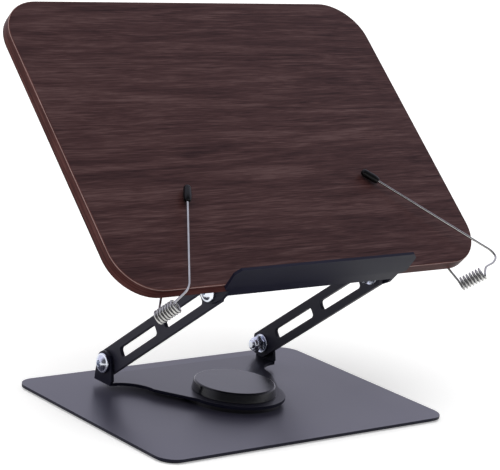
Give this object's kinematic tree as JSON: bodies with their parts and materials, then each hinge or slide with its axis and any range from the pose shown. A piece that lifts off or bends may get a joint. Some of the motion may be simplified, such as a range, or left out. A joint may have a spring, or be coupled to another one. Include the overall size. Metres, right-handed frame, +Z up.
{
  "type": "book stand",
  "caption": "Adjustable reading stand: a flat base with a turntable, slotted hinged arms, a tilting wood-grain board with a ledge, and spring-wire page clips.",
  "frame": {"origin": "on the table, under the turntable's axis at the middle of the base", "axes": "+X across the stand to the reader's right, +Y to the back, +Z up"},
  "size_m": [0.319, 0.1992, 0.2674],
  "materials": {
    "grey_coat": "satin grey powder coat",
    "black_coat": "black powder coat",
    "cover_black": "black, half gloss",
    "race_steel": "blackened steel",
    "zinc": "bright zinc",
    "spring_wire": "bright spring steel",
    "rubber": "matt black",
    "nylon": "natural nylon",
    "board_core": "pressed fibre core",
    "walnut_face": "dark walnut grain, satin",
    "walnut_back": "dark walnut grain, satin",
    "edge_band": "brown edge band, satin"
  },
  "bodies": {
    "base": {"base_plate": "grey_coat", "base_pad": "rubber", "lower_race": "race_steel", "race_rivets": "zinc", "bearing_balls": "zinc", "pivot_stud": "zinc"},
    "swivel": {"swivel_plate": "grey_coat", "upper_race": "race_steel", "swivel_rivets": "zinc", "swivel_cover": "cover_black", "lower_hinge_bolts": "zinc", "lower_friction_washers": "nylon", "lower_hinge_washers": "zinc", "lower_lock_nuts": "zinc"},
    "arms": {"left_arm": "black_coat", "right_arm": "black_coat"},
    "board": {"board_core": "board_core", "front_sheet": "walnut_face", "back_sheet": "walnut_back", "edge_band": "edge_band", "board_bracket": "black_coat", "bracket_screws": "zinc", "upper_hinge_bolts": "zinc", "upper_friction_washers": "nylon", "upper_hinge_washers": "zinc", "upper_lock_nuts": "zinc", "clip_clamps": "black_coat", "clamp_screws": "zinc", "left_clip_tail": "spring_wire", "left_clip_coil": "spring_wire", "right_clip_tail": "spring_wire", "right_clip_coil": "spring_wire"},
    "left_clip": {"left_clip_arm": "spring_wire", "left_clip_tip": "rubber"},
    "right_clip": {"right_clip_arm": "spring_wire", "right_clip_tip": "rubber"}
  },
  "joints": [
    {"name": "base_swivel", "type": "hinge", "parent": "base", "child": "swivel", "pos_m": [0, 0, 0.007], "axis": [0, 0, 1], "continuous": true},
    {"name": "arm_lift", "type": "hinge", "parent": "swivel", "child": "arms", "pos_m": [0, 0.0545, 0.0212], "axis": [-1, 0, 0], "range_deg": [-25, 30]},
    {"name": "board_tilt", "type": "hinge", "parent": "arms", "child": "board", "pos_m": [0, -0.05144, 0.10161], "axis": [1, 0, 0], "range_deg": [-40, 35]},
    {"name": "left_clip_lift", "type": "hinge", "parent": "board", "child": "left_clip", "pos_m": [-0.13316, -0.08383, 0.10174], "axis": [0.4695, -0.5874, 0.6592], "range_deg": [0, 30], "stiffness_Nm_per_rad": 0.06, "springref_deg": -20.05, "deforming": ["left_clip_coil"]},
    {"name": "right_clip_lift", "type": "hinge", "parent": "board", "child": "right_clip", "pos_m": [0.13586, -0.08422, 0.10218], "axis": [0.682, -0.4865, 0.5461], "range_deg": [0, 30], "stiffness_Nm_per_rad": 0.06, "springref_deg": -20.05, "deforming": ["right_clip_coil"]}
  ]
}
